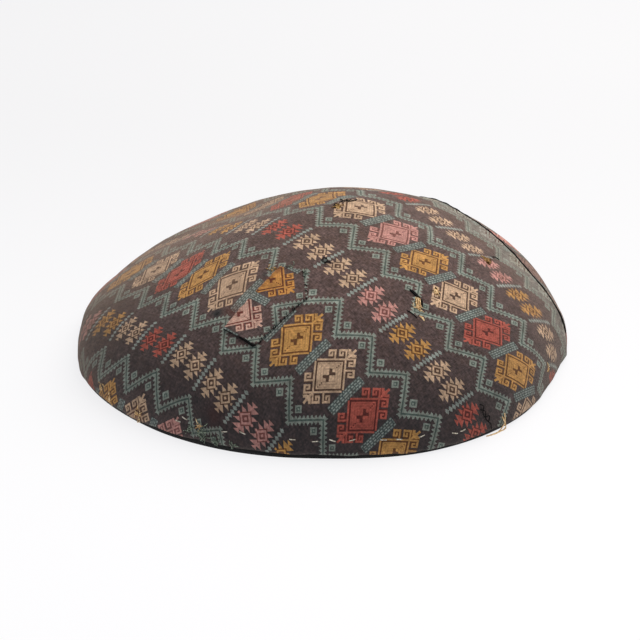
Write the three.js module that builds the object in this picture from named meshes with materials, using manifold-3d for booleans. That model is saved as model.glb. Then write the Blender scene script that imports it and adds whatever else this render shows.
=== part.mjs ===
// Shallow domed sun hat: a plaited straw body with a figured cloth cover sewn over it.
// Millimetres, +Z up. The rim rests on z = 0, the front faces -Y and the tip leans to +X.
import * as THREE from 'three';
import { mergeVertices } from 'three/addons/utils/BufferGeometryUtils.js';
import Module from 'manifold-3d';

// Dome
const CROWN_HEIGHT = 128;
const TIP_LEAN = 19;
const TIP_ROUNDING = 1.15;
const MERIDIANS = [
  { rim: 211, fullness: 2.1 },
  { rim: 211, fullness: 2.1 },
  { rim: 218, fullness: 2.2 },
  { rim: 219, fullness: 2.1 },
  { rim: 218, fullness: 2.0 },
  { rim: 220, fullness: 1.8 },
  { rim: 223, fullness: 1.5 },
  { rim: 213, fullness: 1.6 },
  { rim: 208, fullness: 2.2 },
  { rim: 213, fullness: 2.8 },
  { rim: 213, fullness: 2.6 },
  { rim: 214, fullness: 2.4 },
  { rim: 213, fullness: 2.3 },
  { rim: 219, fullness: 2.3 },
  { rim: 217, fullness: 2.5 },
  { rim: 209, fullness: 2.7 },
];

// Walls, counted inwards from the outside of the cover
const CLOTH_THICKNESS = 1.0;
const STRAW_THICKNESS = 3.0;
const GAP = 0.3;
const HEM_RISE = 2.2;

// Seam between the two cover panels: an upright plane, facing SEAM_AZIMUTH
const SEAM_AZIMUTH = THREE.MathUtils.degToRad(33);
const SEAM_DISTANCE = 154.5;
const SEAM_GAP = 0.8;

// Patch corners and worn holes, in plan
const PATCH_CORNERS = [
  { x: -35, y: -81 },
  { x: -78, y: -137 },
  { x: -56, y: -156 },
  { x: -12, y: -111 },
  { x: -13, y: -91 },
];
const HOLES = [
  { x: 77, y: -113, length: 24, width: 6, turn: -78 },
  { x: 21, y: 8, length: 26, width: 9, turn: 100 },
  { x: 139, y: -27, length: 11, width: 5, turn: -15 },
];

// Facets
const SECTORS = 72;
const RINGS = 12;
const RING_CROWDING = 0.75;
const HOLE_SIDES = 12;
const TOOL_SIZE = 600;

const wasm = await Module();
wasm.setup();

// Smooth closed curve through one column of the meridian table
function alongRim(column, angle) {
  const count = MERIDIANS.length;
  const place = THREE.MathUtils.euclideanModulo(angle / (2 * Math.PI), 1) * count;
  const first = Math.floor(place);
  const value = (step) => MERIDIANS[(first + step + count) % count][column];
  const f = place - first;
  const [a, b, c, d] = [value(-1), value(0), value(1), value(2)];
  return b + 0.5 * f * (c - a + f * (2 * a - 5 * b + 4 * c - d + f * (3 * (b - c) + d - a)));
}

// Point on the outside of the cover: slope 0 is the tip and slope 1 is the rim at z = 0
function outside(slope, angle) {
  const rim = alongRim('rim', angle);
  const fullness = alongRim('fullness', angle);
  const phi = slope * Math.PI / 2;
  const out = Math.sin(phi) ** (2 / TIP_ROUNDING);
  const up = Math.max(Math.cos(phi), 0) ** (2 / fullness);
  return new THREE.Vector3(
    TIP_LEAN * (1 - out) + rim * out * Math.cos(angle),
    rim * out * Math.sin(angle),
    CROWN_HEIGHT * up,
  );
}

function normalAt(slope, angle) {
  const step = 1e-4;
  const low = Math.max(slope - step, step);
  const high = Math.min(slope + step, 1);
  const down = outside(high, angle).sub(outside(low, angle));
  const round = outside(slope, angle + step).sub(outside(slope, angle - step));
  const normal = down.cross(round).normalize();
  if (slope === 1) normal.setZ(0).normalize();
  return normal;
}

function pointAtDepth(slope, angle, depth) {
  if (slope === 0) return outside(0, 0).setZ(CROWN_HEIGHT - depth);
  return outside(slope, angle).addScaledVector(normalAt(slope, angle), -depth);
}

// Slope at which a meridian comes down to a height
function slopeAtHeight(height, angle) {
  const up = (height / CROWN_HEIGHT) ** (alongRim('fullness', angle) / 2);
  return Math.acos(up) / (Math.PI / 2);
}

// Slopes of a meridian's rings, from the tip down to the cover's hem, or on to the floor
function ringSlopes(angle, toFloor) {
  const hem = slopeAtHeight(HEM_RISE, angle);
  const slopes = [];
  for (let ring = 1; ring <= RINGS; ring += 1) slopes.push(hem * (ring / RINGS) ** RING_CROWDING);
  return toFloor ? [...slopes, 1] : slopes;
}

// Closed dome shell between two depths
function domeShell(outerDepth, innerDepth, toFloor) {
  const positions = [];
  const index = [];
  const rings = toFloor ? RINGS + 1 : RINGS;
  const layerSize = 1 + rings * SECTORS;
  const vertex = (layer, ring, sector) => layer * layerSize + 1 + ring * SECTORS + sector % SECTORS;
  for (const depth of [outerDepth, innerDepth]) {
    positions.push(...pointAtDepth(0, 0, depth).toArray());
    for (let ring = 0; ring < rings; ring += 1) {
      for (let sector = 0; sector < SECTORS; sector += 1) {
        const angle = sector * 2 * Math.PI / SECTORS;
        const slope = ringSlopes(angle, toFloor)[ring];
        positions.push(...pointAtDepth(slope, angle, depth).toArray());
      }
    }
  }
  for (let sector = 0; sector < SECTORS; sector += 1) {
    for (const layer of [0, 1]) {
      const face = (a, b, c) => index.push(...(layer === 0 ? [a, b, c] : [a, c, b]));
      const corner = (ring, step) => vertex(layer, ring, sector + step);
      face(layer * layerSize, corner(0, 0), corner(0, 1));
      for (let ring = 1; ring < rings; ring += 1) {
        face(corner(ring - 1, 0), corner(ring, 0), corner(ring, 1));
        face(corner(ring - 1, 0), corner(ring, 1), corner(ring - 1, 1));
      }
    }
    const hem = (layer, step) => vertex(layer, rings - 1, sector + step);
    index.push(hem(0, 0), hem(1, 0), hem(1, 1));
    index.push(hem(0, 0), hem(1, 1), hem(0, 1));
  }
  const geometry = new THREE.BufferGeometry();
  geometry.setAttribute('position', new THREE.Float32BufferAttribute(positions, 3));
  geometry.setIndex(index);
  return geometry;
}

function toSolid(geometry) {
  geometry.deleteAttribute('normal');
  geometry.deleteAttribute('uv');
  const merged = mergeVertices(geometry);
  return new wasm.Manifold(new wasm.Mesh({
    numProp: 3,
    vertProperties: new Float32Array(merged.attributes.position.array),
    triVerts: new Uint32Array(merged.index.array),
  }));
}

function toGeometry(solid) {
  const mesh = solid.getMesh();
  const geometry = new THREE.BufferGeometry();
  geometry.setAttribute('position', new THREE.Float32BufferAttribute(mesh.vertProperties, 3));
  geometry.setIndex(Array.from(mesh.triVerts));
  return geometry;
}

// Upright prism over an outline in plan
function prism(outline) {
  const shape = new THREE.Shape(outline.map(({ x, y }) => new THREE.Vector2(x, y)));
  const geometry = new THREE.ExtrudeGeometry(shape, { depth: TOOL_SIZE, bevelEnabled: false });
  return toSolid(geometry);
}

function holeOutline({ x, y, length, width, turn }) {
  const lean = THREE.MathUtils.degToRad(turn);
  const outline = [];
  for (let side = 0; side < HOLE_SIDES; side += 1) {
    const angle = side * 2 * Math.PI / HOLE_SIDES;
    const along = length / 2 * Math.cos(angle);
    const across = width / 2 * Math.sin(angle);
    outline.push({
      x: x + along * Math.cos(lean) - across * Math.sin(lean),
      y: y + along * Math.sin(lean) + across * Math.cos(lean),
    });
  }
  return outline;
}

// Block that holds everything beyond the seam plane, set back by a margin
function beyondSeam(margin) {
  const block = new THREE.BoxGeometry(TOOL_SIZE, TOOL_SIZE, TOOL_SIZE);
  block.translate(SEAM_DISTANCE + margin + TOOL_SIZE / 2, 0, 0);
  block.rotateZ(SEAM_AZIMUTH);
  return toSolid(block);
}

function coverLayer() {
  return toSolid(domeShell(0, CLOTH_THICKNESS, false));
}

function strawBody() {
  const depth = CLOTH_THICKNESS + GAP;
  return domeShell(depth, depth + STRAW_THICKNESS, true);
}

function coverMain() {
  let cover = coverLayer().subtract(beyondSeam(-SEAM_GAP / 2));
  for (const hole of HOLES) cover = cover.subtract(prism(holeOutline(hole)));
  return toGeometry(cover);
}

function coverSide() {
  return toGeometry(coverLayer().intersect(beyondSeam(SEAM_GAP / 2)));
}

function patch() {
  const layer = toSolid(domeShell(-GAP - CLOTH_THICKNESS, -GAP, false));
  return toGeometry(layer.intersect(prism(PATCH_CORNERS)));
}

function piece(name, geometry, color, roughness) {
  geometry.computeVertexNormals();
  const material = new THREE.MeshStandardMaterial({ color, roughness, metalness: 0 });
  const mesh = new THREE.Mesh(geometry, material);
  mesh.name = name;
  return mesh;
}

const hat = new THREE.Group();
hat.add(
  piece('straw_body', strawBody(), 0xc69a5b, 0.7),
  piece('cover_main', coverMain(), 0x5a4b4a, 0.9),
  piece('cover_side', coverSide(), 0x6a5250, 0.9),
  piece('patch', patch(), 0x6b6660, 0.9),
);

// The origin is under the middle of the hat's box
const middle = new THREE.Box3().setFromObject(hat).getCenter(new THREE.Vector3());
hat.position.set(-middle.x, -middle.y, 0);

export default hat;
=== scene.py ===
"""Looks of a cloth-covered straw hat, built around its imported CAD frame.

Sizes are in millimetres, in the CAD source's own frame, until they become Blender's metres.
Places on the cloth are given on the unrolled cover: x and y of the arc that runs from the tip.
"""
import math
import random
from collections import namedtuple

import bmesh
import bpy
import numpy as np
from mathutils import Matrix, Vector, noise


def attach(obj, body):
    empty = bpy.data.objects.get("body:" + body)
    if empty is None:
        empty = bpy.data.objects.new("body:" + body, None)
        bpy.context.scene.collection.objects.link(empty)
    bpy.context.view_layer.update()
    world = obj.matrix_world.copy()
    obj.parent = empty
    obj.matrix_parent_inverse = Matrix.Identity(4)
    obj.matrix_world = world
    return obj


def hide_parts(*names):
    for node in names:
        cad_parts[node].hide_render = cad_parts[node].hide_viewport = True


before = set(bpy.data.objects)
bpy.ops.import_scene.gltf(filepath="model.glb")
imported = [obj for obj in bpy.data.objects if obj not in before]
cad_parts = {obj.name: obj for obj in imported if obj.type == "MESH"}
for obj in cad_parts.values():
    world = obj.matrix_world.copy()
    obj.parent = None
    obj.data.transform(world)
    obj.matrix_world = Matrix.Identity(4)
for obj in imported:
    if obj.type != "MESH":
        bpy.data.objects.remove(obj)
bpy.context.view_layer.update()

MM = 0.001
ROOT2 = math.sqrt(2)
TURN = 2 * math.pi

# Dome, as in the CAD source, a column value for each sixteenth of a turn
CROWN_HEIGHT = 128.0
TIP_LEAN = 19.0
TIP_ROUNDING = 1.15
RIM = np.array([211, 211, 218, 219, 218, 220, 223, 213, 208, 213, 213, 214, 213, 219, 217, 209.0])
FULLNESS = np.array([2.1, 2.1, 2.2, 2.1, 2, 1.8, 1.5, 1.6, 2.2, 2.8, 2.6, 2.4, 2.3, 2.3, 2.5, 2.7])
HEM_RISE = 2.2
HEM_TAKEN_IN = 0.6
CLOTH_THICKNESS = 0.9
STRAW_DEPTH = 1.3
STRAW_THICKNESS = 3.0
SEAM_AZIMUTH = math.radians(33)
SEAM_DISTANCE = 154.5
SEAM_TUCK = 5.0
SEAM_DIP = 4.0
SEAM_LOOPS = (0.6, 1.4, 2.6)

# Facets
ARC_ANGLES = 720
ARC_STEPS = 400
COVER_SECTORS = 360
COVER_RINGS = 92
COARSE_EDGE = 0.7
STRAW_SECTORS = 240
STRAW_RINGS = 120

# Brocade: size of the repeat, and the thread cells of the quarter that is charted
REPEAT_WIDTH = 42.3
REPEAT_LENGTH = 141.3
CHART_COLUMNS = 42
CHART_ROWS = 140
MOTIF_SIZE = 0.96
GROUND, LIGHT, DARK, TEAL, TEAL_CORE, BAR, DASH, FILL = range(8)

# Pins that hold the repeat on the cover, a row of motifs or of zigzag corners at a time: the row
# of the repeat, the side of it that a zigzag runs on or 0, the first column, and each x and y
PIN_ROWS = [
    (0, 0, 1, [(14.5, -5), (46, -37), (72, -66), (100, -98), (131, -124), (166, -142.5)]),
    (-1, 0, -1, [(-137, -72), (-115.5, -82), (-88, -103)]),
    (-1, 0, 3, [(-26, -166), (3.5, -197.5), (35, -227)]),
    (-0.5, 0, 0.5, [
        (-51, -35), (-20.5, -63), (8.5, -93), (38, -124.5), (67, -157), (100.5, -183), (135.5, -208),
    ]),
    (-1.5, 0, -1.5, [
        (-203, -97), (-180, -122), (-152, -147), (-122, -173.5), (-94, -207), (-62, -240),
    ]),
    (0.5, 0, 2.5, [(108, -10), (133, -43), (162.5, -66.5), (200, -82)]),
    (0, 0, -1, [(-43.5, 61.5), (-19, 29)]),
    (0, -1, 1, [
        (-19, -34), (11.5, -34), (11, -62.5), (40.5, -63), (40.5, -91), (70, -94), (68, -126.5),
        (99, -128), (99, -154.5), (131, -151.5), (131.5, -178),
    ]),
    (0, 1, 1, [
        (51, 30), (47, -2.5), (75, -3), (75, -37), (103, -40), (102.5, -67.5), (130, -70.5),
        (130.5, -98), (163.5, -91), (164.5, -115.5),
    ]),
    (-1, 1, -1, [(-106.5, -27.5), (-108.5, -53.5), (-82.5, -43.5), (-83.5, -67.5), (-53.5, -65)]),
    (-1, 1, 2.5, [
        (-26, -128.5), (7, -125.5), (6.5, -160.5), (36.5, -158.5), (37, -191.5), (67.5, -188),
        (67.5, -220), (101, -215),
    ]),
    (-1, -1, -1, [
        (-170.5, -99.5), (-145, -96.5), (-147.5, -120.5), (-118, -115), (-119, -143.5), (-89.5, -141),
        (-90, -173.5), (-60.5, -173.5), (-60.5, -204.5), (-29.5, -203), (-29.5, -235.5), (1, -233.5),
    ]),
    (-2, 1, -1, [
        (-210.5, -123), (-228.5, -139), (-183.5, -147.5), (-192, -173), (-153.5, -174.5),
        (-159, -205.5), (-123, -207), (-126, -235), (-97, -238),
    ]),
]
ZIGZAG = 32.3
PIN_SPAN = 100.0
PIN_SLACK = 0.004

# Key-fret hook, outer end first, with the stem on the side of the medallion's point
HOOK = [
    "##########",
    "##########",
    "##########",
    "##......##",
    "##..##..##",
    "##..##..##",
    "##..##..##",
    "######..##",
    "######..##",
    "........##",
    "........##",
]

# Patch: its corners on the cover, and where its own medallion sits and points
PATCH_CORNERS = np.array([
    (-47.5, -88.4), (-27.4, -94.2), (-20.5, -124.5), (-61.0, -172.0), (-90.6, -152.3),
])
PATCH_MEDALLION = (-55.0, -103.0)
PATCH_TURN = math.radians(-126)
PATCH_LIFT = 1.2
PATCH_THICKNESS = 0.8
PATCH_FRAY = 0.9
PATCH_FRAY_SEED = 4
PATCH_CELLS = 70
PATCH_GRID = 55

# Side panel: where one of its medallions sits and points
SIDE_MEDALLION = (165, 79)
SIDE_TURN = math.radians(-58)

# Worn holes on the cover
Hole = namedtuple("Hole", "x y length width turn")
HOLES = [
    Hole(66, -106.5, 10.5, 2.6, -40), Hole(70.4, -115.5, 15, 5, -80),
    Hole(75, -131.5, 8, 1.2, -45), Hole(84, -99, 9, 4.2, -80),
    Hole(-5, -6.5, 11, 4.4, -75), Hole(-1.7, 8, 9, 2.2, -85),
    Hole(126, -31, 15, 4.6, -75), Hole(130, -22, 7, 2, -60),
]
HOLE_MARGIN = 3.0

# Basting stitches along the hem: middle of each stitch on the cover
STITCHES = [
    (-139, -221), (-131, -221), (-92, -240), (-74, -243), (-27, -250), (-6, -251), (10, -249),
    (28, -247), (56, -243), (70, -240), (90, -233), (121, -221), (128, -216),
]
STITCH_LENGTH = 5.6
THREAD_RADIUS = 0.44
HEM_DRAWN_UP = math.radians(254)


# Shape of the dome

def heading(angle):
    return np.array([math.cos(angle), math.sin(angle)])


def curve(a, b, c, d, f):
    """Smooth curve at a share f of the way from b to c, with a before and d after them."""
    return b + 0.5 * f * (c - a + f * (2 * a - 5 * b + 4 * c - d + f * (3 * (b - c) + d - a)))


def along_rim(column, angle):
    """Smooth closed curve through one column of the meridian values."""
    place = np.mod(angle / TURN, 1.0) * len(column)
    first = np.floor(place).astype(int)
    f = place - first
    return curve(*(column[(first + step) % len(column)] for step in (-1, 0, 1, 2)), f)


def outside(slope, angle):
    """Points on the outside of the cover: slope 0 is the tip and slope 1 is the rim."""
    phi = slope * math.pi / 2
    out = np.sin(phi) ** (2 / TIP_ROUNDING)
    up = np.maximum(np.cos(phi), 0.0) ** (2 / along_rim(FULLNESS, angle))
    reach = along_rim(RIM, angle) * out
    x = TIP_LEAN * (1 - out) + reach * np.cos(angle)
    return np.stack([x, reach * np.sin(angle), CROWN_HEIGHT * up], -1)


def arc_tables():
    """Arc from tip to rim at each angle, and the slope at even shares of that arc."""
    angle = np.linspace(0, TURN, ARC_ANGLES, endpoint=False)
    slope = np.linspace(0, 1, 3 * ARC_STEPS)
    points = outside(slope[:, None], angle[None, :])
    arc = np.cumsum(np.linalg.norm(np.diff(points, axis=0), axis=-1), axis=0)
    arc = np.vstack([np.zeros(ARC_ANGLES), arc])
    share = np.linspace(0, 1, ARC_STEPS)
    slopes = [np.interp(share * arc[-1, i], arc[:, i], slope) for i in range(ARC_ANGLES)]
    return arc[-1], np.stack(slopes, 1)


RIM_ARC, ARC_SLOPES = arc_tables()


def arc_column(angle):
    return np.round(angle / TURN * ARC_ANGLES).astype(int) % ARC_ANGLES


def dome_place(flat):
    """Slope and angle on the dome of points of the unrolled cover."""
    angle = np.mod(np.arctan2(flat[..., 1], flat[..., 0]), TURN)
    column = angle / TURN * ARC_ANGLES
    left = np.floor(column).astype(int) % ARC_ANGLES
    right = (left + 1) % ARC_ANGLES
    f = column - np.floor(column)
    arc = RIM_ARC[left] * (1 - f) + RIM_ARC[right] * f
    row = np.clip(np.hypot(flat[..., 0], flat[..., 1]) / arc, 0, 1) * (ARC_STEPS - 1)
    low = np.minimum(np.floor(row).astype(int), ARC_STEPS - 2)
    g = row - low
    lower = ARC_SLOPES[low, left] * (1 - f) + ARC_SLOPES[low, right] * f
    upper = ARC_SLOPES[low + 1, left] * (1 - f) + ARC_SLOPES[low + 1, right] * f
    return lower * (1 - g) + upper * g, angle


def dome_normal(slope, angle):
    step = 1e-3
    slope = np.maximum(slope, 0.05)
    high = np.minimum(slope + step, 1.0)
    down = outside(high, angle) - outside(slope - step, angle)
    round_ = outside(slope, angle + step) - outside(slope, angle - step)
    normal = np.cross(down, round_)
    return normal / np.linalg.norm(normal, axis=-1, keepdims=True)


def on_dome(flat, lift=0.0):
    """Points at a height over the unrolled cover's places, in the CAD source's frame."""
    flat = np.asarray(flat, float)
    slope, angle = dome_place(flat)
    lift = np.broadcast_to(np.asarray(lift, float), slope.shape)
    return outside(slope, angle) + dome_normal(slope, angle) * lift[..., None]


# Where the CAD source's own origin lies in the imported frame
TIP = max(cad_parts["straw_body"].data.vertices, key=lambda vertex: vertex.co.z).co / MM
ORIGIN = np.array([TIP.x - TIP_LEAN, TIP.y, 0.0])


def to_metres(points):
    return (np.asarray(points) + ORIGIN) * MM


def hem_share(angle):
    """Share of a meridian's arc that the cover takes up before its hem."""
    up = (HEM_RISE / CROWN_HEIGHT) ** (along_rim(FULLNESS, angle) / 2)
    slope = np.arccos(up) / (math.pi / 2)
    share = np.linspace(0, 1, ARC_STEPS)
    return np.array([np.interp(s, ARC_SLOPES[:, c], share) for s, c in zip(slope, arc_column(angle))])


# Lay of the cloth

def spline(distance):
    return np.where(distance > 0, distance ** 2 * np.log(np.maximum(distance, 1e-9)), 0.0)


def cloth_spline():
    """Weights of a thin-plate spline that lays the repeat through the pinned motifs."""
    pins = []
    for row, side, first, places in PIN_ROWS:
        for count, (x, y) in enumerate(places):
            column = first + (count / 2 if side else count)
            inward = REPEAT_WIDTH / 2 if column % 1 else 0.0
            along = row * REPEAT_LENGTH + side * (ZIGZAG * ROOT2 - inward)
            pins.append((column * REPEAT_WIDTH, along, x, y))
    pins = np.array(pins, float)
    places = pins[:, 2:] / PIN_SPAN
    weave = pins[:, :2]
    bend = spline(np.linalg.norm(places[:, None] - places[None], axis=-1))
    bend += PIN_SLACK * np.eye(len(pins))
    plane = np.column_stack([np.ones(len(pins)), places])
    system = np.block([[bend, plane], [plane.T, np.zeros((3, 3))]])
    return places, np.linalg.solve(system, np.vstack([weave, np.zeros((3, 2))]))


PIN_PLACES, PIN_WEIGHTS = cloth_spline()


def lay_of_cover(flat):
    """Where points of the cover lie in the weave, across and along the repeat."""
    places = np.asarray(flat, float) / PIN_SPAN
    bend = spline(np.linalg.norm(places[:, None] - PIN_PLACES[None], axis=-1))
    plane = np.column_stack([np.ones(len(places)), places])
    return np.hstack([bend, plane]) @ PIN_WEIGHTS


def straight_lay(medallion, column, turn):
    """Lay of a piece whose weave runs straight, from where one of its medallions sits."""
    across = heading(turn)
    along = np.array([-across[1], across[0]])

    def lay(flat):
        offset = np.asarray(flat, float) - medallion
        return np.column_stack([offset @ across + column * REPEAT_WIDTH, offset @ along])
    return lay


# Brocade chart: a quarter of the repeat, from a medallion's centre to a star pair's line

def draw_repeat():
    """Weave codes by row and column, drawn along the diagonals that the motifs follow."""
    across = (np.arange(CHART_COLUMNS) + 0.5) * REPEAT_WIDTH / 2 / CHART_COLUMNS
    along = (np.arange(CHART_ROWS) + 0.5) * REPEAT_LENGTH / 2 / CHART_ROWS
    u, v = np.meshgrid(across, along)
    a = (v + u) / ROOT2
    b = (v - u) / ROOT2
    chart = np.full(u.shape, GROUND)
    draw_zigzag(chart, a, b)
    draw_squares(chart, u, v, a, b)
    draw_bars(chart, u, v)
    draw_medallion(chart, a / MOTIF_SIZE, b / MOTIF_SIZE)
    draw_hooks(chart, a / MOTIF_SIZE, b / MOTIF_SIZE)
    draw_stars(chart, u, v)
    return chart


def draw_zigzag(chart, a, b):
    off = np.abs(a - ZIGZAG)
    tooth = np.abs(np.mod(b, 3.5) - 1.75) / 1.75
    chart[off < 1.2 + 2.7 * (1 - tooth)] = TEAL
    chart[off < 0.7] = TEAL_CORE


def draw_squares(chart, u, v, a, b):
    for centre_a, centre_b in ((24.1, 24.1), (40.5, 10.6)):
        reach = np.maximum(np.abs(a - centre_a), np.abs(b - centre_b))
        chart[reach < 3.0] = TEAL
        chart[reach < 1.6] = TEAL_CORE
        chart[reach < 0.6] = TEAL
    for count in range(5):
        row = REPEAT_LENGTH / 2 - 3.8 * count
        chart[0.7 * u + np.abs(v - row) < 1.85] = DASH


def draw_bars(chart, u, v):
    off = REPEAT_WIDTH / 2 - u
    bar = (off < 4.0) & (v < 16.8)
    row = np.floor(off / 2)
    dash = (np.abs(off - 2 * row - 1) < 0.5) & (np.mod(v + 1.6 * row, 3.2) < 2.0)
    chart[bar] = BAR
    chart[bar & dash] = DASH


def draw_medallion(chart, a, b):
    chart[(a < 13.6) & ((a < 12.1) | (b > -11.5))] = LIGHT
    chart[(a > 10.7) & (a < 12.1)] = DARK
    rows, columns = np.indices(chart.shape)
    chart[(a < 9.6) & ((a > 9.0) | ((rows + columns) % 6 < 2))] = FILL
    chart[(a < 5.2) & (b > -0.1) & (b < 2.3)] = DARK
    chart[np.maximum(np.abs(a - 3.8), np.abs(b - 3.8)) < 1.0] = LIGHT
    for place in (6.0, 7.4, 8.8):
        chart[np.maximum(np.abs(a - place), np.abs(b - place)) < 0.55] = DARK


def draw_hooks(chart, a, b):
    marks = np.array([[mark == "#" for mark in line] for line in HOOK])
    rows, columns = marks.shape
    base, outer = 14.1, 21.4
    for low, high in ((-2.3, 4.3), (6.4, 13.6)):
        inside = (a > base) & (a < outer) & (b > low) & (b < high)
        row = np.clip(((outer - a) / (outer - base) * rows).astype(int), 0, rows - 1)
        column = np.clip(((b - low) / (high - low) * columns).astype(int), 0, columns - 1)
        chart[inside] = np.where(marks[row, column], LIGHT, DARK)[inside]
        chart[(a > 13.5) & (a < 14.2) & (b > high - 1.6) & (b < high)] = LIGHT
        chart[(a > 13.6) & (a < outer) & (b > high) & (b < high + 1.2)] = DARK
    arm = (b > 14.5) & (b < 16.4) & (a > 14.5) & (a < 21.3)
    prong = (a - b < 1.6) & (a + b > 29) & (a + b < 41.5)
    root = (a > 14.5) & (b > 14.5) & (a + b < 36.3)
    link = (a - b < 0.8) & (a + b > 26) & (a + b < 30)
    chart[arm | prong | root | link] = LIGHT


def draw_stars(chart, u, v):
    side = np.abs(u - 11.7)
    end = REPEAT_LENGTH / 2 - v
    p = (end + side) / ROOT2
    q = (end - side) / ROOT2
    chart[p < 5.4] = DARK
    chart[(p > 2.6) & (p < 4.2)] = LIGHT
    chart[p < 1.1] = LIGHT
    corner = (p > 5.4) & (q > 2.8) & (p + q < 15.0)
    tooth = (p > 5.4) & (q > -2.1) & ((p - 5.4) / 5.0 + (q + 2.1) / 4.0 < 1)
    loose = (p > 7.3) & (q > 7.3) & (p + q < 19.6)
    dot = np.hypot(p - 5.1, q + 5.1) < 1.1
    chart[corner | tooth | loose | dot] = LIGHT


CHART = draw_repeat()


# Shader arithmetic

def new_math(tree, operation, *values):
    node = tree.nodes.new("ShaderNodeMath")
    node.operation = operation
    for value, socket in zip(values, node.inputs):
        connect(value, socket)
    return Field(node.outputs[0])


def operator(operation):
    """A Field's method for one operation of the math node."""
    return lambda field, *others: new_math(field.tree, operation, field, *others)


class Field:
    """A shader socket that takes arithmetic, so that a pattern reads as a formula."""

    __add__ = operator("ADD")
    __sub__ = operator("SUBTRACT")
    __mul__ = operator("MULTIPLY")
    __truediv__ = operator("DIVIDE")
    __gt__ = operator("GREATER_THAN")
    __lt__ = operator("LESS_THAN")
    floor = operator("FLOOR")
    size = operator("ABSOLUTE")
    wave = operator("SINE")
    lower_of = operator("MINIMUM")
    angle_over = operator("ARCTAN2")
    wrapped = operator("FLOORED_MODULO")

    def __init__(self, socket):
        self.tree = socket.id_data
        self.socket = socket

    def exponent_of(self, base):
        return new_math(self.tree, "POWER", base, self)

    def equals(self, number):
        return new_math(self.tree, "COMPARE", self, float(number), 0.5)

    def ramped(self, low, high, bottom=0.0, top=1.0):
        """A smooth step from bottom at low to top at high."""
        node = self.tree.nodes.new("ShaderNodeMapRange")
        node.interpolation_type = "SMOOTHSTEP"
        connect(self, node.inputs["Value"])
        ends = {"From Min": low, "From Max": high, "To Min": bottom, "To Max": top}
        for name, value in ends.items():
            node.inputs[name].default_value = value
        return Field(node.outputs["Result"])


def connect(value, socket):
    if isinstance(value, Field):
        value.tree.links.new(value.socket, socket)
    else:
        socket.default_value = value


def mixed(tree, factor, first, second, blend="MIX"):
    """Two colours mixed, each a Field or four numbers."""
    node = tree.nodes.new("ShaderNodeMix")
    node.data_type = "RGBA"
    node.blend_type = blend
    colours = {socket.name: socket for socket in node.inputs if socket.type == "RGBA"}
    connect(factor, node.inputs["Factor"])
    connect(first, colours["A"])
    connect(second, colours["B"])
    return Field([socket for socket in node.outputs if socket.type == "RGBA"][0])


def stepped(tree, factor, colours):
    """A ramp of even flat steps."""
    node = tree.nodes.new("ShaderNodeValToRGB")
    ramp = node.color_ramp
    ramp.interpolation = "CONSTANT"
    while len(ramp.elements) < len(colours):
        ramp.elements.new(1.0)
    for place, shade in enumerate(colours):
        ramp.elements[place].position = place / len(colours)
        ramp.elements[place].color = (*shade[:3], 1.0)
    connect(factor, node.inputs["Fac"])
    return Field(node.outputs["Color"])


def components(tree, socket, kind="ShaderNodeSeparateXYZ"):
    node = tree.nodes.new(kind)
    tree.links.new(socket, node.inputs[0])
    return [Field(output) for output in node.outputs]


def attribute(tree, name):
    """The three numbers that a mesh keeps under a name at each point."""
    node = tree.nodes.new("ShaderNodeAttribute")
    node.attribute_name = name
    return components(tree, node.outputs["Vector"])


def object_place(tree):
    return tree.nodes.new("ShaderNodeTexCoord").outputs["Object"]


def point_of(tree, x, y, z=0.0):
    node = tree.nodes.new("ShaderNodeCombineXYZ")
    for value, socket in zip((x, y, z), node.inputs):
        connect(value, socket)
    return node.outputs[0]


def speckle(tree, place, scale, detail=2.0, roughness=0.5):
    """Noise at a vector socket, or at a point of two or three numbers."""
    vector = point_of(tree, *place) if isinstance(place, tuple) else place
    node = tree.nodes.new("ShaderNodeTexNoise")
    node.inputs["Scale"].default_value = scale
    node.inputs["Detail"].default_value = detail
    node.inputs["Roughness"].default_value = roughness
    tree.links.new(vector, node.inputs["Vector"])
    return Field(node.outputs["Fac"])


def coat(tree, shader, shade, height, depth, values):
    """Gives a shader its colour, a bump of a depth in millimetres, and its plain values."""
    bump = tree.nodes.new("ShaderNodeBump")
    bump.inputs["Strength"].default_value = 1.0
    bump.inputs["Distance"].default_value = depth * MM
    connect(height, bump.inputs["Height"])
    tree.links.new(bump.outputs["Normal"], shader.inputs["Normal"])
    connect(shade, shader.inputs["Base Color"])
    for name, value in values.items():
        shader.inputs[name].default_value = value


def colour(red, green, blue):
    """Linear colour of a shade named by its screen values, 0 to 255."""
    share = np.array([red, green, blue]) / 255
    linear = np.where(share <= 0.04045, share / 12.92, ((share + 0.055) / 1.055) ** 2.4)
    return (*linear.tolist(), 1.0)


def new_material(name):
    material = bpy.data.materials.new(name)
    material.use_nodes = True
    tree = material.node_tree
    return material, tree, tree.nodes["Principled BSDF"]


# Brocade

MOTIF_SHADES = {
    "beige": ((200, 168, 140), (80, 57, 46)),
    "pink": ((192, 138, 130), (118, 70, 66)),
    "yellow": ((193, 143, 80), (100, 60, 28)),
    "red": ((176, 86, 73), (92, 34, 30)),
}
PATCH_SHADES = {
    "beige": ((200, 160, 144), (108, 48, 44)),
    "pink": ((208, 140, 134), (90, 40, 40)),
    "yellow": ((190, 133, 66), (96, 44, 20)),
    "red": ((196, 84, 70), (74, 22, 20)),
}
SIDE_SHADES = {
    "beige": ((140, 122, 112), (78, 58, 54)),
    "pink": ((206, 146, 136), (140, 84, 78)),
    "yellow": ((132, 104, 96), (80, 56, 52)),
    "red": ((150, 96, 90), (84, 52, 50)),
}
MEDALLIONS = ["yellow", "beige", "pink", "yellow", "beige", "red"]
STARS = ["red", "beige", "beige", "pink", "yellow", "beige"]
GROUND_SHADE = (83, 66, 65)
PLAIN_SHADES = {
    TEAL: (136, 144, 135), TEAL_CORE: (76, 90, 84), BAR: (80, 90, 88), DASH: (146, 154, 148),
}
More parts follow.
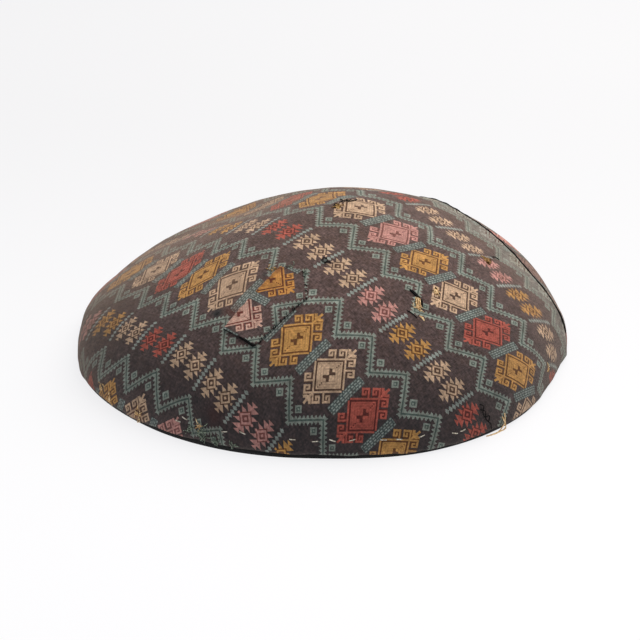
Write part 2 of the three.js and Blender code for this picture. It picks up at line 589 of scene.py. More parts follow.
BORDER_SHADE = colour(150, 158, 150)
BORDER_GAP_SHADE = colour(84, 78, 76)
BORDER_REACH = 42.0
STAR_START = 52.0
RIB = 0.5
CHANNEL_CELLS = 7
RAMP_ROWS = 32


def chart_code(tree, column, row):
    """The chart's code at a column and row: each ramp stop is a row, read off as octal digits."""
    block_cells = 3 * CHANNEL_CELLS
    places = 8 ** np.arange(CHANNEL_CELLS)
    packed = CHART.reshape(CHART_ROWS, -1, 3, CHANNEL_CELLS) @ places
    blocks = []
    for block in range(CHART_COLUMNS // block_cells):
        found = None
        for start in range(0, CHART_ROWS, RAMP_ROWS):
            stops = packed[start:start + RAMP_ROWS, block].astype(float).tolist()
            step = stepped(tree, (row + (0.5 - start)) / len(stops), stops)
            found = step if found is None else mixed(tree, row > start - 0.5, found, step)
        blocks.append(found)
    group = (column / CHANNEL_CELLS).floor()
    digits = mixed(tree, group > 2.5, blocks[0], blocks[1])
    channel = group.wrapped(3.0)
    red, green, blue = components(tree, digits.socket, "ShaderNodeSeparateColor")
    mask = red * channel.equals(0) + green * channel.equals(1) + blue * channel.equals(2)
    digit = column - group * CHANNEL_CELLS
    return ((mask + 0.5) / digit.exponent_of(8.0)).floor().wrapped(8.0)


def brocade(name, shades):
    """Figured weave: coloured motifs on a purple-brown ground, thread by thread."""
    material, tree, shader = new_material(name)
    across, along, _ = attribute(tree, "cloth")
    weave = (across, along)
    drift = speckle(tree, weave, 0.9)
    u = across + (drift - 0.5) * 0.2
    v = along + (drift - 0.5) * -0.2

    near_column = (u / REPEAT_WIDTH + 0.5).floor()
    near_row = (v / REPEAT_LENGTH + 0.5).floor()
    fold_u = (u - near_column * REPEAT_WIDTH).size()
    fold_v = (v - near_row * REPEAT_LENGTH).size()
    column = (fold_u * (2 * CHART_COLUMNS / REPEAT_WIDTH)).floor().lower_of(CHART_COLUMNS - 1.0)
    row = (fold_v * (2 * CHART_ROWS / REPEAT_LENGTH)).floor().lower_of(CHART_ROWS - 1.0)
    code = chart_code(tree, column, row)

    on_star = fold_v > STAR_START
    medallion = near_column.wrapped(6.0)
    star = (u / REPEAT_WIDTH).floor().wrapped(6.0) + 6.0
    family = medallion + (star - medallion) * on_star
    shade_place = (family + 0.5) / 12.0
    names = MEDALLIONS + STARS
    light, dark = (
        stepped(tree, shade_place, [colour(*shades[name][tone]) for name in names]) for tone in (0, 1)
    )
    border = near_row.equals(1) * ((fold_u + fold_v) < BORDER_REACH)
    light = mixed(tree, border * 0.9, light, BORDER_SHADE)
    dark = mixed(tree, border * 0.7, dark, BORDER_GAP_SHADE)
    plain = [colour(*PLAIN_SHADES.get(mark, GROUND_SHADE)) for mark in range(8)]
    shade = stepped(tree, (code + 0.5) / 8.0, plain)
    shade = mixed(tree, border * 0.36, shade, BORDER_SHADE)
    shade = mixed(tree, code.equals(LIGHT), shade, light)
    shade = mixed(tree, code.equals(DARK), shade, dark)
    shade = mixed(tree, code.equals(FILL), shade, mixed(tree, 0.3, light, dark))

    shade = worn(tree, shade, code, across, along)
    ribs = (u * (TURN / RIB)).wave() * (v * (TURN / RIB)).wave()
    height = ribs * 0.5 + (code > 0.5) * 0.8 + speckle(tree, weave, 1.2)
    coat(tree, shader, shade, height, 0.12, {
        "Roughness": 0.92, "Specular IOR Level": 0.2, "Sheen Weight": 0.2, "Sheen Roughness": 0.4,
        "Sheen Tint": (1.0, 0.86, 0.74, 1.0),
    })
    return material


def worn(tree, shade, code, across, along):
    """Uneven dye and slubs, then from the mesh: fading and painted sheen, rust, dirt and painted shade,
    black specks.
    """
    fade_and_sheen, grime_and_shade, rust = attribute(tree, "wear_and_painted_light")
    warp = speckle(tree, (across * 0.75, along * 0.2), 1.0, 2.0, 0.6)
    weft = speckle(tree, (across * 0.18, along * 0.65, 7.0), 1.0, 2.0, 0.6)
    grain = speckle(tree, (across, along, 11.0), 0.5, 1.0)
    blotch = speckle(tree, (across, along), 0.07, 3.0, 0.6)
    tint = speckle(tree, (across, along, 3.0), 0.16, 3.0, 0.7)
    slubs = (code > 0.5) * -0.38 + 0.78
    for share, field, depth in ((slubs, warp, 0.45), (slubs, weft, 0.4), (slubs, grain, 0.45),
                                (1.0, blotch, 0.2)):
        shade = mixed(tree, share, shade, grey_noise(tree, field, depth), "MULTIPLY")
    shade = mixed(tree, tint.ramped(0.4, 0.75, 0.0, 0.2), shade, colour(104, 70, 52))
    # Paler warm grey: partly real fading, partly painted sheen on cloth seen at a grazing angle
    shade = mixed(tree, fade_and_sheen * weft.ramped(0.3, 0.7, 0.5, 1.5), shade, colour(128, 102, 84))
    shade = mixed(tree, rust, shade, colour(92, 34, 22))
    speck = grime_and_shade.ramped(0.8, 1.0)
    # A dark cool grey, less on the motif threads: partly dirt, partly painted shade at the front rim
    shade = mixed(tree, grime_and_shade * ((code > 0.5) * -0.55 + 1.0), shade, colour(26, 35, 39))
    return mixed(tree, speck, shade, colour(10, 9, 9))


def grey_noise(tree, field, depth):
    """A grey from a noise field, stretched to run to a depth below and above 1."""
    level = field.ramped(0.25, 0.75, 1 - depth, 1 + depth)
    node = tree.nodes.new("ShaderNodeCombineColor")
    for socket in node.inputs:
        connect(level, socket)
    return Field(node.outputs[0])


# Other materials

def plaited_straw():
    """Split straw plaited in narrow rows round the hat, black at the bottom edge: partly stain, partly
    painted shadow.
    """
    material, tree, shader = new_material("straw")
    place, cosine, sine = attribute(tree, "plait")
    turn = sine.angle_over(cosine) * (1 / TURN)
    place = place + turn
    row = place.floor()
    across = place - row
    lean = (across - 0.5).size() * 2.0
    strands_in_row = ((row + 0.5) * (TURN * PLAIT_ROUND * PLAIT_ROW / PLAIT_STRAND)).floor()
    strand = turn * strands_in_row + row * 0.37 + lean * 0.9
    strand_number = strand.floor()
    profile = (strand - strand_number - 0.5).size() * 2.0
    tone = speckle(tree, (strand_number, row), 3.7, 0.0)
    fibre = speckle(tree, (strand * 6.0, place * 1.5), 2.0, 3.0, 0.7)
    shade = mixed(tree, tone.ramped(0.3, 0.7), colour(176, 130, 72), colour(222, 184, 122))
    shade = mixed(tree, fibre.ramped(0.35, 0.8, 0.0, 0.5), shade, colour(140, 92, 44))
    shade = mixed(tree, profile.ramped(0.75, 1.0, 0.0, 0.7), shade, colour(84, 52, 24))
    _, _, height = components(tree, object_place(tree))
    # Black at the bottom edge, below the hem: partly a dark stain, partly painted shadow of the gap
    # under the hem
    rim = height.ramped(RIM_STAIN_AND_SHADOW_HEIGHT * MM, (RIM_STAIN_AND_SHADOW_HEIGHT + 3) * MM, 1.0, 0.0)
    shade = mixed(tree, rim, shade, colour(7, 6, 6))
    relief = fibre * 0.3 - profile.ramped(0.5, 1.0)
    coat(tree, shader, shade, relief, 0.3, {"Roughness": 0.6, "Specular IOR Level": 0.2})
    return material


def thread_material(name, shade, dark_shade):
    """Twisted cotton thread, its plies darker in the turns."""
    material, tree, shader = new_material(name)
    twist = speckle(tree, object_place(tree), 900.0, 1.0)
    mix = mixed(tree, twist.ramped(0.35, 0.65), colour(*dark_shade), colour(*shade))
    coat(tree, shader, mix, twist, 0.1, {"Roughness": 0.85, "Specular IOR Level": 0.15})
    return material


def floor_material():
    material, tree, shader = new_material("backdrop")
    tint = speckle(tree, object_place(tree), 1.5)
    shade = mixed(tree, tint, colour(92, 92, 93), colour(96, 96, 97))
    connect(shade, shader.inputs["Base Color"])
    shader.inputs["Roughness"].default_value = 0.8
    shader.inputs["Emission Color"].default_value = (0.99, 0.985, 1.0, 1.0)
    _, depth, _ = components(tree, object_place(tree))
    glow = depth.ramped(-0.45, 0.6, 0.845, 0.735)
    connect(glow, shader.inputs["Emission Strength"])
    return material


# Cloth pieces

def hem_wave(angle):
    """Unevenness of the hem, in millimetres of arc."""
    waves = [(3, 0.3, 0.4), (11, 0.4, 1.7), (29, 0.3, 0.2), (61, 0.25, 2.9)]
    uneven = sum(size * np.sin(count * angle + start) for count, size, start in waves)
    drawn_up = 2.6 * np.exp(-((angle - HEM_DRAWN_UP) / 0.42) ** 2)
    return uneven - drawn_up


def ruffle(flat):
    """Lift of the cloth off the straw: soft dents, and puckers near the hem."""
    lifts = []
    for x, y in flat:
        broad = noise.noise(Vector((x / 45, y / 45, 0.5)))
        fine = noise.noise(Vector((x / 14, y / 14, 4.5)))
        reach = math.hypot(x, y)
        pucker = noise.noise(Vector((math.atan2(y, x) * 14, reach / 60, 8.5)))
        near_hem = min(max((reach - 205) / 45, 0), 1)
        lifts.append(0.25 + 0.6 * broad + 0.3 * fine + 0.8 * near_hem * pucker)
    return np.maximum(np.array(lifts), -0.25) - dents(np.asarray(flat))


def wear_and_painted_light_of(flat):
    """Fading and painted sheen towards the tip and far side, dirt and painted shade at the front rim,
    and spots.
    """
    reach = np.hypot(flat[:, 0], flat[:, 1])
    far_left = np.clip((-flat[:, 0] * 0.72 + flat[:, 1] * 0.69 - 40) / 90, 0, 1)
    far_right = np.clip((flat[:, 0] * 0.8 + flat[:, 1] * 0.6 - 60) / 50, 0, 1)
    # Paler towards the tip and the far left and right: partly real fading, partly painted sheen where
    # the cloth is seen at a grazing angle
    fade_and_sheen = 0.12 * np.exp(-(reach / 100) ** 2) + 0.42 * far_left + 0.16 * far_right
    fade_and_sheen = spotted(fade_and_sheen, flat, FADE_AND_SHEEN_SPOTS)
    # Darker towards the front rim: partly dirt, partly painted shade where the front faces away from
    # the key light
    front = np.clip(-flat[:, 1] / np.maximum(reach, 1), 0, 1)
    grime_and_shade = (0.12 + 0.5 * front) * np.clip((reach - 130) / 110, 0, 1) ** 1.2
    grime_and_shade = spotted(grime_and_shade, flat, GRIME_SPOTS)
    grime_and_shade = spotted(grime_and_shade, flat, [(*speck, SPECK_STRENGTH) for speck in SPECKS])
    rust = spotted(np.zeros(len(flat)), flat, RUST_SPOTS)
    return np.column_stack([fade_and_sheen, grime_and_shade, rust])


def soft_spot(flat, x, y, size):
    return np.exp(-(np.hypot(flat[..., 0] - x, flat[..., 1] - y) / size) ** 2)


def spotted(level, flat, spots):
    """A level of wear raised by round soft spots."""
    for x, y, size, strength in spots:
        level = np.maximum(level, strength * soft_spot(flat, x, y, size))
    return level


# Spots of fading, dirt and rust, some partly painted light: x and y on the cover, reach and strength
GRIME_SPOTS = [
    (-98, -134, 6, 0.8), (-110, -228, 16, 0.75), (-70, -228, 22, 0.6), (-60, -96, 3.5, 0.7),
    (-52, -90, 3, 0.6), (-128, -240, 12, 0.6), (133, -13, 3, 0.8), (60, -232, 18, 0.6),
    (112, -222, 14, 0.55),
]
# Paler spots: partly real fading, partly painted sheen on cloth seen at a grazing angle
FADE_AND_SHEEN_SPOTS = [
    (-88, -103, 19, 0.34), (-170, -60, 30, 0.3), (-16, 30, 18, 0.4), (-46, 58, 26, 0.5),
    (-84, 56, 30, 0.5), (-96, 98, 26, 0.85), (-69, 87, 20, 0.7), (-118, 90, 22, 0.75),
]
# Black specks, all of one strength, and dents with their depth in place of a strength
SPECK_STRENGTH = 1.15
SPECKS = [
    (-138.9, -5.5, 2.0), (-145.7, -69.5, 1.6), (-77, 77, 2.4), (-71, 66, 2.0), (-66, 72, 1.6),
    (207, -101, 2.6), (-214, -99, 2.0), (-229, -96, 2.2), (-238, -99, 1.8), (-222, -112, 1.5),
    (213, -32, 2.4), (211, -55, 2.0), (-10, -81, 2.6), (-98, -134, 4.0), (-52, -90, 2.0),
]
RUST_SPOTS = [
    (-49, -93, 4.5, 0.65), (-55, -101, 4, 0.6), (-61, -109, 3.5, 0.5), (-82, -134, 7, 0.55),
    (-100, -226, 9, 0.5), (-191, -197, 9, 0.5), (127, -24, 5, 0.5),
]
DENTS = [(-80, 104, 34, 4.4), (-224, 70, 30, 2.6), (197, 24, 26, 2.4), (120, 100, 30, 1.6)]


def dents(flat):
    """Depth of the wide dents in the straw, which the cloth follows."""
    return sum(deepest * soft_spot(flat, x, y, size) for x, y, size, deepest in DENTS)


def in_hole(x, y):
    """Whether a place on the cover is worn away, with ragged edges."""
    for hole in HOLES:
        turn = math.radians(hole.turn)
        dx = x - hole.x
        dy = y - hole.y
        along = (dx * math.cos(turn) + dy * math.sin(turn)) / hole.length * 2
        across = (dy * math.cos(turn) - dx * math.sin(turn)) / hole.width * 2
        ragged = 0.35 * noise.noise(Vector((x / 1.6, y / 1.6, hole.x)))
        if along ** 2 + across ** 2 < 1 + ragged:
            return True
    return False


def middle_of(face):
    return face.calc_center_median()[:2]


def cut_holes(mesh):
    """Refines the flat cover round each hole and drops the worn faces."""
    for hole in HOLES:
        reach = hole.length / 2 + HOLE_MARGIN
        close = [face for face in mesh.faces if math.dist(middle_of(face), (hole.x, hole.y)) < reach]
        edges = {edge for face in close for edge in face.edges if edge.calc_length() > COARSE_EDGE}
        bmesh.ops.subdivide_edges(mesh, edges=list(edges), cuts=5, use_grid_fill=True)
    worn_faces = [face for face in mesh.faces if in_hole(*middle_of(face))]
    bmesh.ops.delete(mesh, geom=worn_faces, context="FACES")


def flat_cover():
    """The whole cover, unrolled, as rings of faces round the tip."""
    angle = np.arange(COVER_SECTORS) * TURN / COVER_SECTORS
    hem = hem_share(angle) * RIM_ARC[arc_column(angle)] + hem_wave(angle) - HEM_TAKEN_IN
    mesh = bmesh.new()
    tip = mesh.verts.new((0, 0, 0))
    rings = []
    for ring in range(1, COVER_RINGS + 1):
        reach = hem * ring / COVER_RINGS
        places = zip(reach * np.cos(angle), reach * np.sin(angle))
        rings.append([mesh.verts.new((x, y, 0)) for x, y in places])
    for sector in range(COVER_SECTORS):
        follow = (sector + 1) % COVER_SECTORS
        mesh.faces.new((tip, rings[0][sector], rings[0][follow]))
        for inner, outer in zip(rings, rings[1:]):
            mesh.faces.new((inner[sector], outer[sector], outer[follow], inner[follow]))
    return mesh


def store_vectors(mesh, name, values):
    layer = mesh.attributes.new(name, "FLOAT_VECTOR", "POINT")
    layer.data.foreach_set("vector", np.asarray(values, np.float32).ravel())


def add_object(name, data):
    item = bpy.data.objects.new(name, data)
    bpy.context.scene.collection.objects.link(item)
    return item


def finished_piece(name, mesh, material, node=None):
    """A smooth piece of the hat in a material slot, in place of a CAD node where one is named."""
    for polygon in mesh.polygons:
        polygon.use_smooth = True
    mesh.materials.append(material)
    piece = add_object(name, mesh)
    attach(piece, "root")
    if node:
        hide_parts(node)
    return piece


def cloth_piece(name, mesh, shades, slot, node, thickness=CLOTH_THICKNESS):
    """A laid cloth in its own brocade, thickened towards the straw."""
    piece = finished_piece(name, mesh, brocade(slot, shades), node)
    layer = piece.modifiers.new("thickness", "SOLIDIFY")
    layer.thickness = thickness * MM
    layer.offset = -1.0
    return piece


def laid_mesh(name, flat_mesh):
    """A flat cloth's mesh laid on the dome, with its flat places kept at each point."""
    mesh = bpy.data.meshes.new(name)
    flat_mesh.to_mesh(mesh)
    flat_mesh.free()
    places = np.empty(len(mesh.vertices) * 3)
    mesh.vertices.foreach_get("co", places)
    places = places.reshape(-1, 3)
    store_vectors(mesh, "flat", places)
    lay_down(mesh, places[:, :2], 0.0)
    return mesh


def lay_down(mesh, flat, lift):
    places = to_metres(on_dome(flat, lift))
    mesh.vertices.foreach_set("co", places.ravel())
    mesh.update()


def dress(mesh, lay, lift):
    """Settles a laid cloth at its lift, and keeps its weave, its worn look and its painted light at
    each point.
    """
    flat = np.empty(len(mesh.vertices) * 3, np.float32)
    mesh.attributes["flat"].data.foreach_get("vector", flat)
    flat = flat.reshape(-1, 3)[:, :2].astype(float)
    store_vectors(mesh, "cloth", np.column_stack([lay(flat), np.zeros(len(flat))]))
    store_vectors(mesh, "wear_and_painted_light", wear_and_painted_light_of(flat))
    lay_down(mesh, flat, lift(flat))


def bisect(mesh, place, normal, **cleared):
    geometry = mesh.verts[:] + mesh.edges[:] + mesh.faces[:]
    bmesh.ops.bisect_plane(mesh, geom=geometry, plane_co=place, plane_no=normal, **cleared)


def cut_at_seam(mesh, name, side, margin):
    """The half of the cover on one side of the seam's upright plane, with a margin past it."""
    normal = Vector((*heading(SEAM_AZIMUTH), 0)) * side
    middle = Vector(to_metres([0, 0, 0])) + normal * side * SEAM_DISTANCE * MM
    half = bmesh.new()
    half.from_mesh(mesh)
    for offset in SEAM_LOOPS:
        bisect(half, middle + normal * offset * MM, normal)
    bisect(half, middle - normal * margin * MM, normal, clear_inner=True)
    cut = bpy.data.meshes.new(name)
    half.to_mesh(cut)
    half.free()
    return cut


def beyond_seam(flat):
    """How far places of the cover lie past the seam's upright plane."""
    return on_dome(flat)[:, :2] @ heading(SEAM_AZIMUTH) - SEAM_DISTANCE


def main_lift(flat):
    """The main panel rises over the tuck at the seam and rolls down at its folded edge."""
    inside = -beyond_seam(flat)
    ridge = 1.4 * np.exp(-(inside / 7) ** 2)
    roll = 0.7 * np.exp(-(inside / 0.9) ** 2)
    return ruffle(flat) + ridge - roll


def side_lift(flat):
    """The side panel dips to pass under the main panel's edge."""
    share = np.clip(beyond_seam(flat) / SEAM_DIP, 0, 1)
    low = -0.25 - dents(flat)
    return ruffle(flat) * share + low * (1 - share)


def make_covers():
    flat = flat_cover()
    cut_holes(flat)
    whole = laid_mesh("cover", flat)
    side_mesh = cut_at_seam(whole, "cover_side", 1, SEAM_TUCK)
    main_mesh = cut_at_seam(whole, "cover_main", -1, 0.0)
    dress(main_mesh, lay_of_cover, main_lift)
    dress(side_mesh, straight_lay(SIDE_MEDALLION, 2, SIDE_TURN), side_lift)
    return [
        cloth_piece("cover_main_cloth", main_mesh, MOTIF_SHADES, "cover_cloth", "cover_main"),
        cloth_piece("cover_side_cloth", side_mesh, SIDE_SHADES, "side_cloth", "cover_side"),
    ]


def patch_lift(flat):
    """The patch lies over the cover, and its lower left edge stands up."""
    bottom, left = PATCH_CORNERS[3:]
    run = (bottom - left) / np.linalg.norm(bottom - left)
    offset = flat - left
    inside = np.abs(offset[:, 0] * run[1] - offset[:, 1] * run[0])
    return ruffle(flat) + PATCH_LIFT + 0.9 * np.exp(-(inside / 5) ** 2)


def make_patch():
    middle = PATCH_CORNERS.mean(0)
    mesh = bmesh.new()
    bmesh.ops.create_grid(mesh, x_segments=PATCH_CELLS, y_segments=PATCH_CELLS, size=PATCH_GRID)
    bmesh.ops.translate(mesh, verts=mesh.verts, vec=(*middle, 0))
    for first, second in zip(PATCH_CORNERS, np.roll(PATCH_CORNERS, -1, axis=0)):
        run = second - first
        outward = Vector((-run[1], run[0], 0))
        if outward.dot(Vector((*(first - middle), 0))) < 0:
            outward = -outward
        bisect(mesh, (*first, 0), outward, clear_outer=True)
    noise.seed_set(PATCH_FRAY_SEED)
    for vertex in mesh.verts:
        if vertex.is_boundary:
            fray = noise.noise_vector(vertex.co / 4)
            vertex.co += Vector((fray.x, fray.y, 0)) * PATCH_FRAY
    laid = laid_mesh("patch", mesh)
    dress(laid, straight_lay(PATCH_MEDALLION, 3, PATCH_TURN), patch_lift)
    return cloth_piece("patch_cloth_piece", laid, PATCH_SHADES, "patch_cloth", "patch", PATCH_THICKNESS)


# Straw body

PLAIT_ROW = 9.5
PLAIT_STRAND = 5.0
PLAIT_RELIEF = 0.5
# Height of the black band at the straw's bottom edge: partly stain, partly painted shadow under the hem
RIM_STAIN_AND_SHADOW_HEIGHT = 7.0
# A ring's girth on the dome, as a share of its girth on a flat disc
PLAIT_ROUND = 0.88


def ring_faces(rings, sides):
    """Faces that join rings of points into a tube, with a cap at each end."""
    faces = []
    for low in range(0, (rings - 1) * sides, sides):
        high = low + sides
        for corner in range(sides):
            follow = (corner + 1) % sides
            faces.append([low + corner, low + follow, high + follow, high + corner])
    faces.append(list(reversed(range(sides))))
    faces.append([(rings - 1) * sides + corner for corner in range(sides)])
    return faces


def straw_layer(depth, share):
    """Points of one face of the straw wall, with the plait's row and the way round at each."""
    angle = np.arange(STRAW_SECTORS) * TURN / STRAW_SECTORS
    reach = share[:, None] * RIM_ARC[arc_column(angle)][None, :]
    flat = np.stack([reach * np.cos(angle), reach * np.sin(angle)], -1)
    rows = reach / PLAIT_ROW
    relief = PLAIT_RELIEF * np.abs(np.sin((rows + angle / TURN) * math.pi))
    points = on_dome(flat, -depth - relief - dents(flat))
    points[..., 2] = np.maximum(points[..., 2], 0.0)
    points[-1, :, 2] = 0.0
    return points, np.stack(np.broadcast_arrays(rows, np.cos(angle), np.sin(angle)), -1)


def make_straw():
    share = np.linspace(0.004, 1, STRAW_RINGS)
    outer, outer_plait = straw_layer(STRAW_DEPTH, share)
    inner, inner_plait = straw_layer(STRAW_DEPTH + STRAW_THICKNESS - PLAIT_RELIEF, share)
    points = np.concatenate([outer, inner[::-1]])
    plait = np.concatenate([outer_plait, inner_plait[::-1]])
    faces = [[face[0], *face[:0:-1]] for face in ring_faces(len(points), STRAW_SECTORS)]
    mesh = bpy.data.meshes.new("straw_body")
    mesh.from_pydata(to_metres(points).reshape(-1, 3).tolist(), [], faces)
    store_vectors(mesh, "plait", plait.reshape(-1, 3))
    finished_piece("straw_body_plait", mesh, plaited_straw(), "straw_body")


# Threads

THREAD_SIDES = 6
THREAD_STEP = 0.8


def smooth_path(points):
    """Evenly stepped curve through a thread's points."""
    points = np.asarray(points, float)
    ends = np.vstack([2 * points[0] - points[1], points, 2 * points[-1] - points[-2]])
    path = []
    for first in range(len(points) - 1):
        count = max(2, int(np.linalg.norm(points[first + 1] - points[first]) / THREAD_STEP))
        for f in np.arange(count)[:, None] / count:
            path.append(curve(*ends[first:first + 4], f))
    path.append(points[-1])
    return np.array(path)


def tube(path, radius):
    """Points and faces of a round thread along a path, thinner at both ends."""
    tangents = np.gradient(path, axis=0)
    tangents /= np.linalg.norm(tangents, axis=1, keepdims=True)
    side = np.cross(tangents, (0.31, 0.17, 0.93))
    side /= np.linalg.norm(side, axis=1, keepdims=True)
    over = np.cross(tangents, side)
    turn = np.arange(THREAD_SIDES) * TURN / THREAD_SIDES
    taper = np.ones(len(path))
    taper[[0, -1]] = 0.5
    ring = side[:, None] * np.cos(turn)[None, :, None] + over[:, None] * np.sin(turn)[None, :, None]
    points = path[:, None] + ring * (radius * taper)[:, None, None]
    return points.reshape(-1, 3), ring_faces(len(path), THREAD_SIDES)


def make_threads(name, paths, radius, material):
    """Several threads joined in one piece, from paths of x, y and lift on the cover."""
    points = []
    faces = []
    for path in paths:
        path = smooth_path(path)
        line = on_dome(path[:, :2], path[:, 2] + ruffle(path[:, :2]))
        line[:, 2] = np.maximum(line[:, 2], radius)
        new_points, new_faces = tube(line, radius)
        start = sum(len(block) for block in points)
        points.append(new_points)
        faces.extend([start + corner for corner in face] for face in new_faces)
    mesh = bpy.data.meshes.new(name)
    mesh.from_pydata(to_metres(np.concatenate(points)).tolist(), [], faces)
    finished_piece(name, mesh, material)


def basting_paths():
    """Running stitches that follow the hem, each dipping into the cloth at its ends."""
    paths = []
    for place, (x, y) in enumerate(STITCHES):
        reach = math.hypot(x, y)
        angle = math.atan2(y, x)
        half = STITCH_LENGTH / 2 / reach
        tilt = 0.7 * math.sin(place * 2.4)
        path = []
        for share, lift in ((-1, -0.4), (-0.8, 0.25), (0, 0.45), (0.8, 0.25), (1, -0.4)):
            radius = reach + tilt * share
            turn = angle + half * share
            path.append((*(radius * heading(turn)), lift))
        paths.append(path)
    return paths


# Loose pale thread at the right of the rim, and dark tangles: x, y and lift of each point
LOOSE_THREADS = [
    [(156, -210, 0.6), (160, -208, 1.4), (164, -205, 2.2), (170, -199, 2.6), (173, -192, 2.2),
     (165, -187, 0.8)],
    [(158, -209, 1.0), (164, -204, 2.0), (168, -198, 2.4), (170, -190, 1.8), (166, -183, 0.6)],
    [(164, -205, 2.2), (167, -205, 2.6), (172, -198, 2.0)],
    [(172, -194, 2.2), (176, -194, 1.6), (178, -196, 0.8)],
]
DARK_TANGLES = [
    [(136, -190, 0.3), (140, -190, 1.2), (141, -195, 1.6), (145, -197, 1.2), (149, -194, 1.4),
     (152, -199, 0.4)],
    [(138, -194, 0.3), (143, -193, 1.4), (147, -198, 1.2), (154, -199, 1.4), (159, -202, 0.3)],
    [(-12.5, -81, 0.4), (-11, -78.5, 0.8), (-8.2, -79.3, 0.8), (-7.6, -82, 0.8), (-9.8, -83.8, 0.8),
     (-12.3, -82, 0.4)],
    [(-10, -84, 0.3), (-6, -82, 0.7), (-4.5, -84.5, 0.2)],
    [(62, -127, 0.2), (66, -129, 0.5), (71, -133, 0.3)],
    [(-4, -2, 0.2), (1, 2, 0.7), (4, 7, 0.2)],
    [(0, -1, 0.2), (5, 4, 0.7), (7, 9, 0.2)],
    [(3, 0, 0.2), (8, 4, 0.7), (12, 10, 0.2)],
    [(133, -14, 0.2), (136, -12, 0.6), (140, -13, 0.2)],
]

# Painted shadow: black tubes along the open tear and the hole beside the tip
TEAR_SHADOWS = [
    [(62.3, -103.6, 0.1), (64.5, -105.8, 0.4), (67, -108.3, 0.4), (69.5, -110.6, 0.1)],
    [(63.3, -104.0, 0.1), (66.1, -106.0, 0.4), (69, -109.0, 0.2)],
    [(73.2, -113, -0.2), (73.8, -117, 0.0), (73.4, -121, -0.2)],
    [(-7, -2, 0.0), (-7.6, -6, 0.2), (-6.4, -10, 0.0)],
]

# Worn places that show fraying: middle on the cover, reach, and how many strands
STRAW_FRAYS = [
    (-189, -197, 7, 20), (-222, -164, 5, 12), (-231, -146, 5, 12), (-117, -230, 3, 8),
    (71, -121, 4, 14), (84, -99, 3, 6), (208, -105, 2, 7),
]
BROWN_FRAYS = [(-5, -6, 5, 10), (127, -30, 6, 20), (-54, -90, 5, 10)]
TEAL_FRAYS = [
    (-128, -231, 6, 14), (-116, -238, 9, 34), (-104, -246, 6, 16), (-86, -253, 5, 8),
    (-40, -90, 7, 8), (-26, -96, 4, 8),
]


def fray_paths(places, seed):
    """Short bent strands spread round each worn place."""
    chance = random.Random(seed)
    paths = []
    for x, y, reach, count in places:
        for _ in range(count):
            turn = chance.uniform(0, TURN)
            start = chance.uniform(0, reach * 0.8)
            length = chance.uniform(2.0, 5.5)
            bend = chance.uniform(-0.9, 0.9)
            root = np.array([x, y]) + start * heading(turn)
            lean = chance.uniform(0, TURN)
            middle = root + length / 2 * heading(lean)
            tip = root + length * heading(lean + bend)
            rise = chance.uniform(0.3, 1.1)
            paths.append([(*root, -0.2), (*middle, rise), (*tip, rise * 0.5)])
    return paths


def bare_straw_paths():
    """Split ends of straw that stand up in three of the worn holes, along each one's length."""
    paths = []
    for hole in HOLES[1:4]:
        run = heading(math.radians(hole.turn))
        side = np.array([-run[1], run[0]])
        for count, share in enumerate((-0.3, 0.02, 0.3)):
            middle = np.array([hole.x, hole.y]) + side * share * hole.width
            half = run * hole.length * (0.44 - 0.07 * count)
            paths.append([(*(middle - half), -0.5), (*middle, 0.35), (*(middle + half), -0.3)])
    return paths


def seam_thread_and_shadow_paths():
    """Black thread along the seam, doubled where it thickens towards its front end; partly painted
    shadow.
    """
    line = []
    reach = np.linspace(60, 249, 500)
    for angle in np.linspace(SEAM_AZIMUTH - 0.9, SEAM_AZIMUTH + 0.9, 120):
        flat = np.outer(reach, heading(angle))
        past = beyond_seam(flat) > -0.5
        if past.any():
            line.append(flat[np.argmax(past)])
    line = np.array(line)
    waver = 0.25 * np.sin(np.arange(len(line)) * 0.9)
    first = np.column_stack([line, 1.2 + waver])
    second = np.column_stack([line * 1.004, 0.8 - waver])
    third = np.column_stack([line * 1.008, 0.3 + waver])
    return [first, second, third[:30], third[62:76]]


def overcast_paths():
    """Slanting stitches over the patch's right edges, with one in four gone."""
    paths = []
    for first, last, gap in ((1, 2, 5.2), (2, 3, 3.3)):
        run = PATCH_CORNERS[last] - PATCH_CORNERS[first]
        length = np.linalg.norm(run)
        run = run / length
        out = np.array([-run[1], run[0]])
        for count in range(int(length / gap)):
            if count % 4 == 2:
                continue
            middle = PATCH_CORNERS[first] + run * gap * (count + 0.5)
            sway = 0.8 * math.sin(count * 2.7)
            inner = middle - out * 1.5 - run * (0.9 + sway)
            outer = middle + out * 1.3 + run * (0.9 - sway)
            paths.append([(*inner, 1.0), (*(inner + outer) / 2, 1.7), (*outer, 0.2)])
    return paths


def patch_shadow_paths():
    """Painted shadow: black tubes under the patch's lifted lower left edge and along its folded lower
    half.
    """
    bottom, left = PATCH_CORNERS[3:]
    middle = (left + bottom) / 2
    lower = (middle + bottom) / 2 - (0, 0.8)
    edge_shadow = [(*left, 0.6), (*middle, 0.9), (*bottom, 0.6)]
    fold_shadow = [(*middle, 0.7), (*lower, 1.0), (*(bottom - (1.5, 0.4)), 0.6)]
    return edge_shadow, fold_shadow


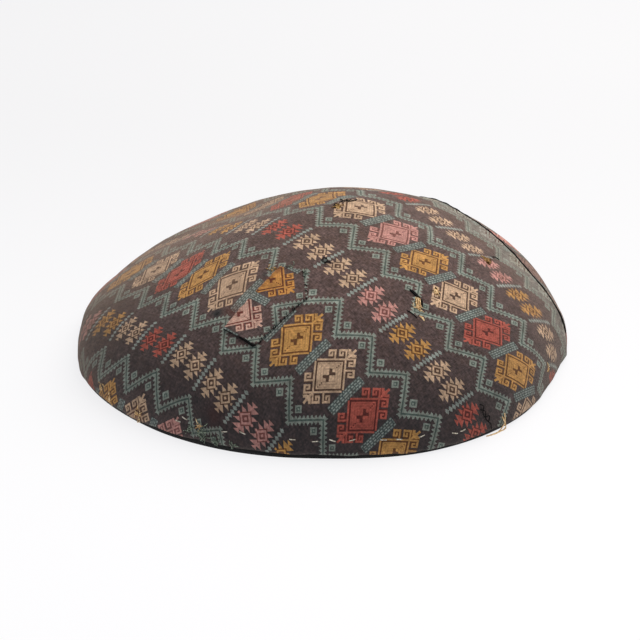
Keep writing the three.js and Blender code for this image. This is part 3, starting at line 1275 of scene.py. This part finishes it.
def make_all_threads():
    cream = thread_material("cream_thread", (222, 214, 200), (150, 138, 122))
    straw = thread_material("frayed_thread", (196, 158, 102), (104, 72, 40))
    # Black thread, which also colours the black tubes that stand for painted shadow
    dark = thread_material("dark_thread_and_shadow", (14, 13, 14), (5, 5, 6))
    split = thread_material("split_straw", (250, 222, 176), (190, 144, 90))
    teal = thread_material("frayed_teal", (150, 160, 142), (70, 80, 72))
    edge_shadow, fold_shadow = patch_shadow_paths()
    make_threads("basting_thread", basting_paths(), THREAD_RADIUS, cream)
    make_threads("loose_thread", LOOSE_THREADS, 0.5, split)
    make_threads("frayed_strands", fray_paths(STRAW_FRAYS, 5), 0.26, split)
    make_threads("frayed_weft", fray_paths(TEAL_FRAYS, 9), 0.3, teal)
    make_threads("bare_straw", bare_straw_paths(), 0.5, split)
    make_threads("frayed_straw", fray_paths(BROWN_FRAYS, 3), 0.3, straw)
    # Painted shadow in the open tear and in the hole beside the tip
    make_threads("tear_shadow", TEAR_SHADOWS, 0.9, dark)
    make_threads("dark_tangle", DARK_TANGLES, 0.4, dark)
    # The seam's thick black line: partly sewing thread, partly painted shadow of the gap under the main
    # panel's edge
    make_threads("seam_thread_and_shadow", seam_thread_and_shadow_paths(), 1.05, dark)
    make_threads("patch_stitching", overcast_paths(), 0.36, dark)
    # Painted shadow under the patch's lifted lower left edge and along its folded lower half
    make_threads("patch_edge_shadow", [edge_shadow], 0.6, dark)
    make_threads("patch_fold_shadow", [fold_shadow], 1.3, dark)


# Stage

CAMERA_DISTANCE = 2000.0
CAMERA_ELEVATION = math.radians(26.4)
CAMERA_LENS = 130.3
CAMERA_AIM = (-1.2, 7.0, 14.15)

# In metres
LIGHT_PLACE = (0.75, 0.85, 1.75)
FLOOR_HALF = 4.0
FLOOR_DROP = 0.0003


def aimed(name, data, place, target):
    item = add_object(name, data)
    item.location = place
    item.rotation_euler = (Vector(target) - item.location).to_track_quat("-Z", "Y").to_euler()
    return item


def make_camera():
    data = bpy.data.cameras.new("camera")
    data.lens = CAMERA_LENS
    data.sensor_width = 36.0
    away = np.array([0, -math.cos(CAMERA_ELEVATION), math.sin(CAMERA_ELEVATION)])
    place = to_metres(away * CAMERA_DISTANCE)
    bpy.context.scene.camera = aimed("camera", data, place, to_metres(CAMERA_AIM))


def make_light():
    data = bpy.data.lights.new("overhead", "AREA")
    data.shape = "DISK"
    data.size = 2.2
    data.energy = 54.0
    data.color = (1.0, 0.95, 0.88)
    aimed("overhead", data, LIGHT_PLACE, (0, 0, 0))


def make_stage():
    mesh = bpy.data.meshes.new("floor")
    corners = [(x * FLOOR_HALF, y * FLOOR_HALF, 0) for x, y in ((-1, -1), (1, -1), (1, 1), (-1, 1))]
    mesh.from_pydata(corners, [], [(0, 1, 2, 3)])
    mesh.materials.append(floor_material())
    floor = add_object("floor", mesh)
    floor.location.z = -FLOOR_DROP
    world = bpy.data.worlds.new("studio")
    world.use_nodes = True
    sky = world.node_tree.nodes["Background"]
    sky.inputs["Color"].default_value = (0.92, 0.97, 1.0, 1.0)
    sky.inputs["Strength"].default_value = 0.5
    bpy.context.scene.world = world
    make_light()
    bpy.context.scene.view_settings.view_transform = "Standard"


make_camera()
make_stage()
make_straw()
cover_main, cover_side = make_covers()
patch = make_patch()
make_all_threads()
